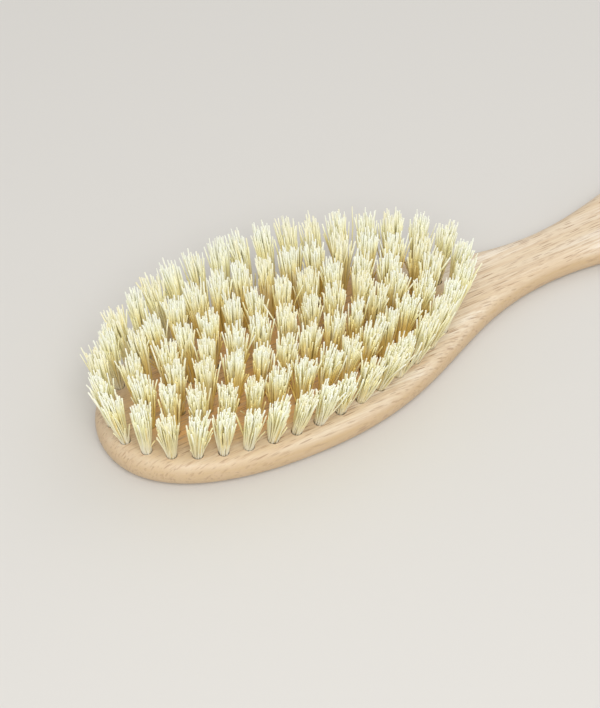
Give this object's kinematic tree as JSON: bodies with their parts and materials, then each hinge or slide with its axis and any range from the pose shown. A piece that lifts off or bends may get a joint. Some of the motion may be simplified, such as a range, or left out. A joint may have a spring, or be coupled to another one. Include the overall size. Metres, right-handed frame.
{
  "type": "body dry brush",
  "caption": "Body dry brush with an oval head, a short contoured wooden handle and cream plant-fibre tufts, lying on its flat back with the tufts up.",
  "frame": {"origin": "on the flat back, under the middle of the tuft field", "axes": "+X from the head along the handle, +Z out of the tufted face"},
  "size_m": [0.2519, 0.0747, 0.0314],
  "materials": {
    "beech": "fine sanded, thin oil",
    "plant_fibre": "stiff bleached plant fibre, cut level",
    "anchor_wire": "flat drawn wire"
  },
  "bodies": {
    "root": {"anchors_centre_row": "anchor_wire", "anchors_inner_left_side": "anchor_wire", "anchors_inner_neck_end": "anchor_wire", "anchors_inner_nose_end": "anchor_wire", "anchors_inner_right_side": "anchor_wire", "anchors_middle_left_side": "anchor_wire", "anchors_middle_neck_end": "anchor_wire", "anchors_middle_nose_end": "anchor_wire", "anchors_middle_right_side": "anchor_wire", "anchors_outer_left_side": "anchor_wire", "anchors_outer_neck_end": "anchor_wire", "anchors_outer_nose_end": "anchor_wire", "anchors_outer_right_side": "anchor_wire", "brush_back": "beech", "tufts_centre_row": "plant_fibre", "tufts_inner_left_side": "plant_fibre", "tufts_inner_neck_end": "plant_fibre", "tufts_inner_nose_end": "plant_fibre", "tufts_inner_right_side": "plant_fibre", "tufts_middle_left_side": "plant_fibre", "tufts_middle_neck_end": "plant_fibre", "tufts_middle_nose_end": "plant_fibre", "tufts_middle_right_side": "plant_fibre", "tufts_outer_left_side": "plant_fibre", "tufts_outer_neck_end": "plant_fibre", "tufts_outer_nose_end": "plant_fibre", "tufts_outer_right_side": "plant_fibre"}
  },
  "joints": []
}
